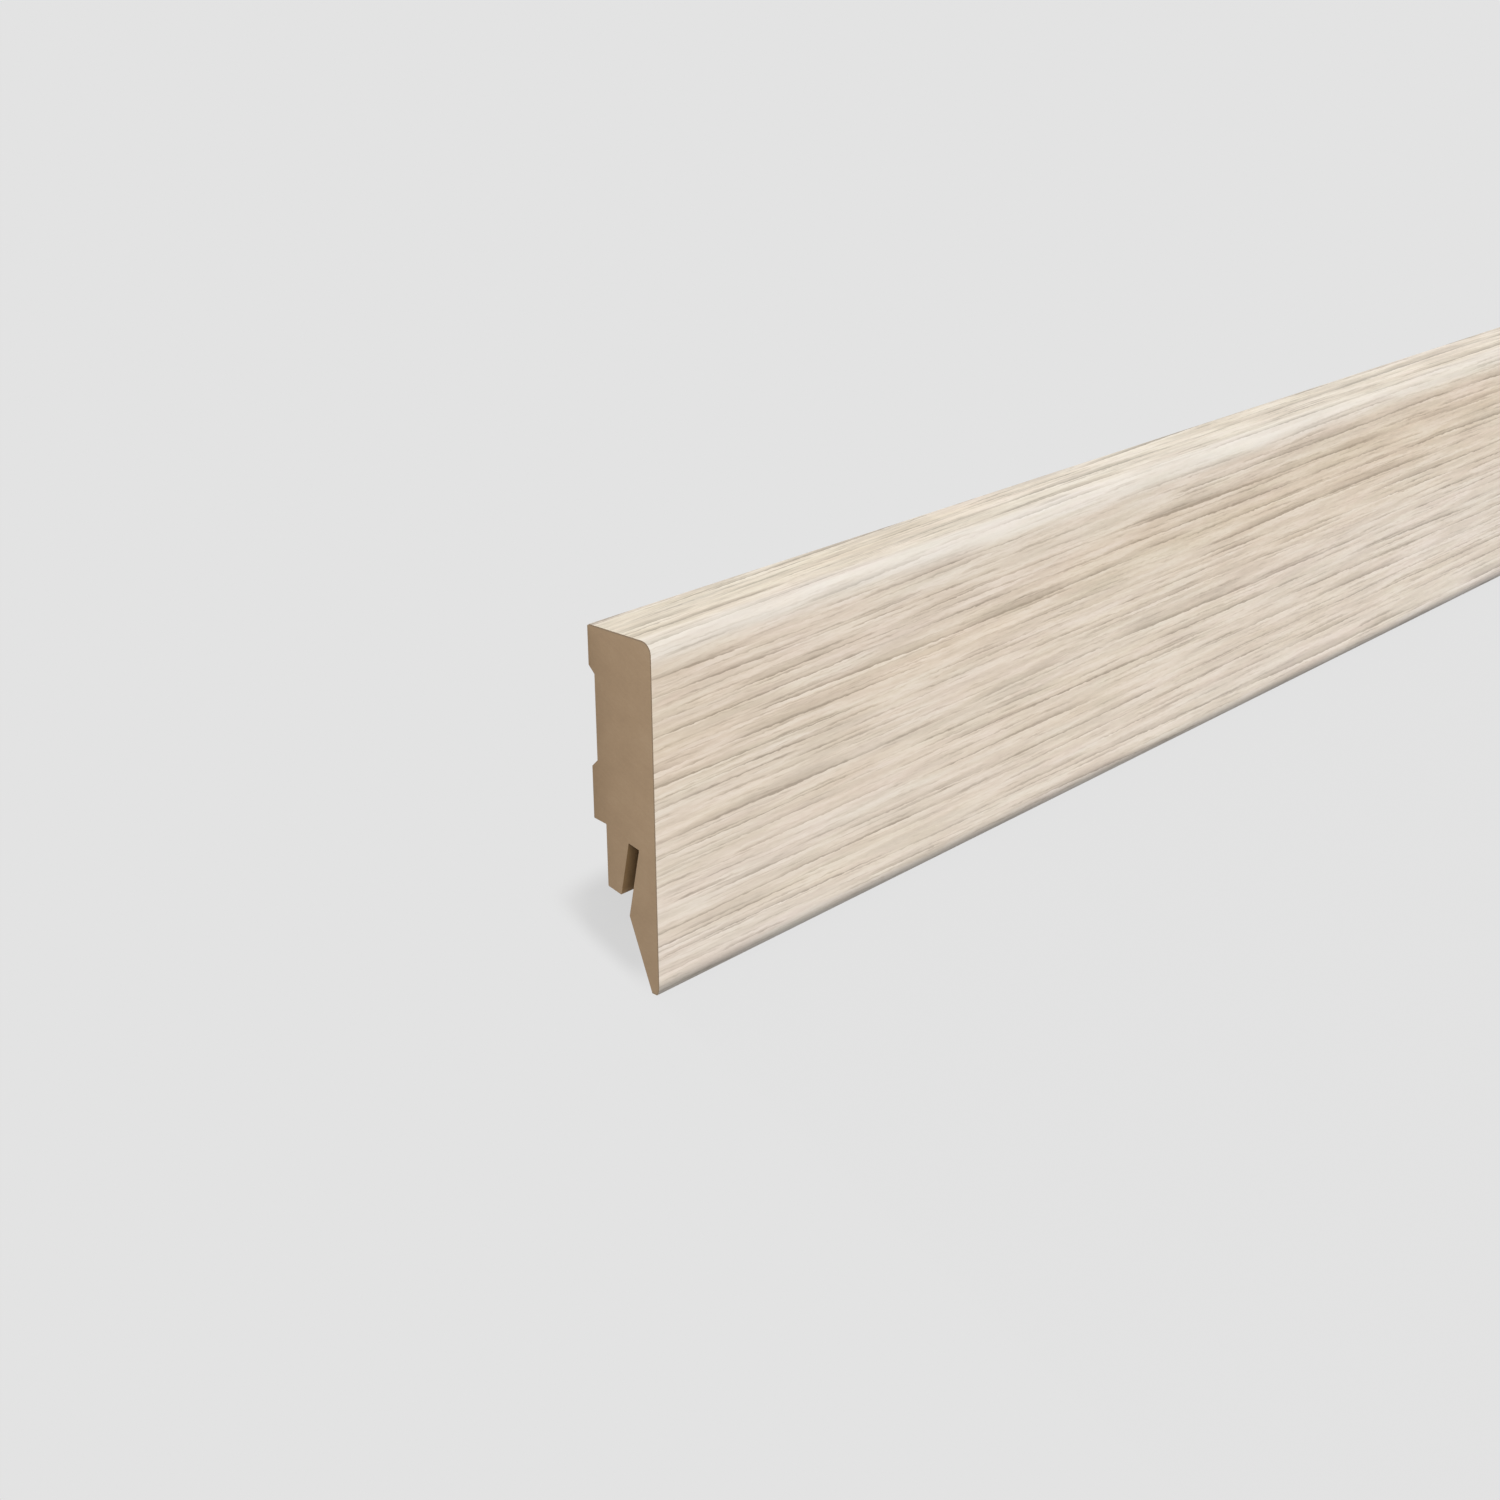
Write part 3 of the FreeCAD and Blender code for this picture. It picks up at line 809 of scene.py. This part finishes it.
def sawn_fibreboard():
    """Medium-density fibreboard, sawn across: matt and tan, with fine fibre ends and dust.

    To the eye: one even brown close up to the edge, faintly clouded, with painted shade
    that makes it a little darker towards the foot, a fine speckle and the very light rub
    marks of a fine-toothed blade.
    """
    material, tree, shader = new_finish("fibreboard_sawn_end", roughness=0.92, specular=0.2)
    place = solid_place(tree)
    cloud = add(
        tree, "ShaderNodeTexNoise", {"Vector": place, "Scale": 1 / CLOUD, "Detail": 2.0}
    )
    speck = add(
        tree, "ShaderNodeTexNoise", {"Vector": place, "Scale": 1 / SPECKLE, "Detail": 2.0}
    )
    dust = add(tree, "ShaderNodeTexNoise", {"Vector": place, "Scale": 1 / DUST, "Detail": 1.0})
    turned = add(tree, "ShaderNodeMapping", {"Vector": place, "Rotation": (RUB_LEAN, 0, 0)})
    drawn = add(
        tree, "ShaderNodeMapping",
        {"Vector": turned.outputs[0], "Scale": (1, 1 / RUB[0], 1 / RUB[1])},
    )
    rub = add(tree, "ShaderNodeTexNoise", {"Vector": drawn.outputs[0], "Scale": 1.0, "Detail": 2.0})
    level = mixed_levels(
        tree, zip([noise.outputs["Fac"] for noise in (cloud, speck, dust, rub)], SAWN_SHARES)
    )
    # Painted shade: the cut end darkens towards the foot
    board = add(tree, "ShaderNodeSeparateXYZ", {0: place})
    (foot, foot_shade), (middle, middle_shade) = SAWN_SHADE
    shade = add(
        tree, "ShaderNodeMapRange",
        {"Value": board.outputs["Y"], "From Min": foot, "From Max": middle,
         "To Min": foot_shade, "To Max": middle_shade},
    )
    toned = add(
        tree, "ShaderNodeHueSaturation",
        {"Value": shade.outputs[0], "Color": fibre_colour(tree, level)},
    )
    tree.links.new(toned.outputs["Color"], shader.inputs["Base Color"])
    rough = add(
        tree, "ShaderNodeBump",
        {"Height": level, "Strength": RAISED_STRENGTH, "Distance": RAISED},
    )
    tree.links.new(rough.outputs[0], shader.inputs["Normal"])
    return material


def machined_fibreboard(noise):
    """Medium-density fibreboard after the moulding cutters: matt, tan, drawn along the board.

    To the eye: fine fibres and long faint scratches along the length, a shallow ripple of
    cutter marks across it, and painted shade that makes the slot darker and warmer.
    """
    material, tree, shader = new_finish("fibreboard_machined", roughness=0.85, specular=0.25)
    flat = unrolled_place(tree)
    place = solid_place(tree)
    cloud = add(
        tree, "ShaderNodeTexNoise", {"Vector": place, "Scale": 1 / CLOUD, "Detail": 2.0}
    )
    fibres = add(
        tree, "ShaderNodeGroup",
        {"Surface": flat, "Length": FIBRE[0], "Width": FIBRE[1], "Layer": 51}, node_tree=noise,
    )
    scratches = add(
        tree, "ShaderNodeGroup",
        {"Surface": flat, "Length": SCRATCH[0], "Width": SCRATCH[1], "Layer": 52},
        node_tree=noise,
    )
    parts = add(tree, "ShaderNodeSeparateXYZ", {0: flat})
    turn = add(
        tree, "ShaderNodeMath",
        {0: parts.outputs["X"], 1: 2 * math.pi / RIPPLE}, operation="MULTIPLY",
    )
    ripple = add(tree, "ShaderNodeMath", {0: turn.outputs[0]}, operation="SINE")
    drawn = (cloud.outputs["Fac"], fibres.outputs["Level"], scratches.outputs["Level"])
    level = mixed_levels(tree, zip(drawn, MACHINED_SHARES))
    colour = fibre_colour(tree, level)

    # The slot, painted darker and warmer as shade: from the tongue's foot up to the slot's end, in
    # front of the rebate
    board = add(tree, "ShaderNodeSeparateXYZ", {0: place})
    above_foot = add(
        tree, "ShaderNodeMapRange",
        {"Value": board.outputs["Y"], "From Min": tongue_front[0] / MM + SLOT_MOUTH[0],
         "From Max": tongue_front[0] / MM + SLOT_MOUTH[1]},
    )
    below_end = add(
        tree, "ShaderNodeMath", {0: board.outputs["Y"], 1: slot_end_lip[0] / MM + SLOT_CLEAR},
        operation="LESS_THAN",
    )
    off_back = add(
        tree, "ShaderNodeMath", {0: board.outputs["Z"], 1: REBATE_DEPTH / MM + SLOT_CLEAR},
        operation="GREATER_THAN",
    )
    near_slot = add(
        tree, "ShaderNodeMath", {0: above_foot.outputs[0], 1: below_end.outputs[0]},
        operation="MULTIPLY",
    )
    in_slot = add(
        tree, "ShaderNodeMath", {0: near_slot.outputs[0], 1: off_back.outputs[0]},
        operation="MULTIPLY",
    )
    darker = add(
        tree, "ShaderNodeMath",
        {0: in_slot.outputs[0], 1: -SLOT_PAINTED_SHADE, 2: 1.0}, operation="MULTIPLY_ADD",
    )
    warmer = add(
        tree, "ShaderNodeMath",
        {0: in_slot.outputs[0], 1: SLOT_SHADE_WARMTH, 2: 1.0}, operation="MULTIPLY_ADD",
    )
    slot_painted_shade = add(
        tree, "ShaderNodeHueSaturation",
        {"Saturation": warmer.outputs[0], "Value": darker.outputs[0], "Color": colour},
    )
    tree.links.new(slot_painted_shade.outputs["Color"], shader.inputs["Base Color"])
    height = mixed_levels(tree, [(level, 1.0), (ripple.outputs[0], RIPPLE_SHARE)])
    rough = add(
        tree, "ShaderNodeBump",
        {"Height": height, "Strength": RAISED_STRENGTH, "Distance": RAISED},
    )
    tree.links.new(rough.outputs[0], shader.inputs["Normal"])
    return material


drawn_noise = drawn_noise_group()
decor = light_oak_foil(drawn_noise, streak_group(drawn_noise))
foil_edge = foil_cut_edge()
machined = machined_fibreboard(drawn_noise)
sawn = sawn_fibreboard()

swept_section = sweep_tree()
core = sweep(swept_section, "fibreboard_core", core_outline, machined, sawn)
foil = sweep(swept_section, "wood_decor_foil", foil_outline, decor, foil_edge)
roll_light(foil.data)
for piece, node, slot in ((core, "mdf_core", "mdf"), (foil, "decor_foil", "decor_foil")):
    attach(piece, "root")
    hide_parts(node)


# Floor, light and camera
BACKGROUND = "E3E3E3"
FLOOR_SIZE = 30
BOUNCE = 0.6
SHADOW_SHARE = 0.19
SHADOW_SIDES = (
    # a direction on the floor into the shadow, and how far along it from the middle of the
    # cut end the shadow begins and is full
    ((0, -1, 0), 10.5 * MM, 16 * MM),
    ((0.77, 0.64, 0), -18 * MM, -14 * MM),
)
AMBIENT = 0.27
CAMERA_PLACE = Vector((-1411.47, 137.03, 234.57)) * MM
CAMERA_SIGHT = Vector((0.6725, -0.3774, -0.6366))
CAMERA_UPRIGHT = Vector((0.2791, 0.9260, -0.2542))
CAMERA_NEAREST = 0.01
SENSOR_WIDTH = 36
PHOTO_WIDTH = 1500  # in pixels
FOCAL_LENGTH = 2153.4  # in pixels of the photograph


def seen_directly(tree):
    """1 for what the camera sees, straight, through glass or in a reflection, and 0 for light."""
    path = add(tree, "ShaderNodeLightPath")
    either = add(
        tree, "ShaderNodeMath",
        {0: path.outputs["Is Camera Ray"], 1: path.outputs["Is Glossy Ray"]}, operation="MAXIMUM",
    )
    any_view = add(
        tree, "ShaderNodeMath",
        {0: either.outputs[0], 1: path.outputs["Is Transmission Ray"]}, operation="MAXIMUM",
    )
    return any_view.outputs[0]


def pale_floor():
    """A floor that the camera sees pale, with a light shadow by the cut end's tongue and lip."""
    half = FLOOR_SIZE / 2
    mesh = bpy.data.meshes.new("floor")
    mesh.from_pydata(
        [(-half, -half, 0), (half, -half, 0), (half, half, 0), (-half, half, 0)], [], [(0, 1, 2, 3)]
    )
    floor = bpy.data.objects.new("floor", mesh)
    bpy.context.scene.collection.objects.link(floor)
    material = bpy.data.materials.new("pale_floor")
    material.use_nodes = True
    tree = material.node_tree
    tree.nodes.clear()
    glow = add(tree, "ShaderNodeEmission", {"Color": linear(BACKGROUND), "Strength": 1.0})
    lit = add(tree, "ShaderNodeBsdfDiffuse", {"Color": linear(BACKGROUND)})
    spot = add(tree, "ShaderNodeTexCoord")
    share = SHADOW_SHARE
    for direction, begins, full in SHADOW_SIDES:
        cut_end = -HALF_LENGTH * direction[0]
        reach = add(
            tree, "ShaderNodeVectorMath", {0: spot.outputs["Object"], 1: direction},
            operation="DOT_PRODUCT",
        )
        inside = add(
            tree, "ShaderNodeMapRange",
            {"Value": reach.outputs["Value"], "From Min": cut_end + begins,
             "From Max": cut_end + full},
            interpolation_type="SMOOTHSTEP",
        )
        share = add(
            tree, "ShaderNodeMath", {0: inside.outputs[0], 1: share}, operation="MULTIPLY"
        ).outputs[0]
    seen = add(tree, "ShaderNodeMixShader", {0: share, 1: glow.outputs[0], 2: lit.outputs[0]})
    bounce = add(tree, "ShaderNodeBsdfDiffuse", {"Color": (BOUNCE, BOUNCE, BOUNCE, 1)})
    mix = add(
        tree, "ShaderNodeMixShader",
        {0: seen_directly(tree), 1: bounce.outputs[0], 2: seen.outputs[0]},
    )
    add(tree, "ShaderNodeOutputMaterial", {"Surface": mix.outputs[0]})
    mesh.materials.append(material)
    return floor


def studio_world():
    """Even soft light from all round, behind the same pale background."""
    world = bpy.data.worlds.new("studio")
    bpy.context.scene.world = world
    world.use_nodes = True
    tree = world.node_tree
    tree.nodes.clear()
    light = add(tree, "ShaderNodeBackground", {"Color": (1, 1, 1, 1), "Strength": AMBIENT})
    seen = add(tree, "ShaderNodeBackground", {"Color": linear(BACKGROUND), "Strength": 1.0})
    mix = add(
        tree, "ShaderNodeMixShader",
        {0: seen_directly(tree), 1: light.outputs[0], 2: seen.outputs[0]},
    )
    add(tree, "ShaderNodeOutputWorld", {"Surface": mix.outputs[0]})


def soft_sun(name, towards, level, spread, lit):
    """A distant lamp, `spread` degrees wide, that lights only the pieces it is set on.

    At level 1 it lights a white surface that faces it to white.
    """
    lamp = bpy.data.lights.new(name, "SUN")
    lamp.energy = level * math.pi
    lamp.angle = math.radians(spread)
    holder = bpy.data.objects.new(name, lamp)
    holder.rotation_euler = Vector(towards).to_track_quat("Z", "Y").to_euler()
    bpy.context.scene.collection.objects.link(holder)
    group = bpy.data.collections.new(name + "_lights")
    for piece in lit:
        group.objects.link(piece)
    holder.light_linking.receiver_collection = group


def photo_camera():
    """The photograph's view: its place, its line of sight and its upright direction."""
    sight = CAMERA_SIGHT.normalized()
    across = sight.cross(CAMERA_UPRIGHT.normalized()).normalized()
    turn = Matrix((across, across.cross(sight), -sight)).transposed()
    data = bpy.data.cameras.new("photo_view")
    data.sensor_width = SENSOR_WIDTH
    data.lens = SENSOR_WIDTH * FOCAL_LENGTH / PHOTO_WIDTH
    data.clip_start = CAMERA_NEAREST
    camera = bpy.data.objects.new("photo_view", data)
    camera.matrix_world = Matrix.Translation(CAMERA_PLACE) @ turn.to_4x4()
    bpy.context.scene.collection.objects.link(camera)
    bpy.context.scene.camera = camera


floor = pale_floor()
studio_world()
soft_sun("key", towards=(-0.45, 0.61, 0.66), level=0.97, spread=50, lit=[core, foil])
soft_sun("floor_light", towards=(0.38, 0.38, 0.85), level=0.84, spread=36, lit=[floor])
photo_camera()
bpy.context.scene.view_settings.view_transform = "Standard"
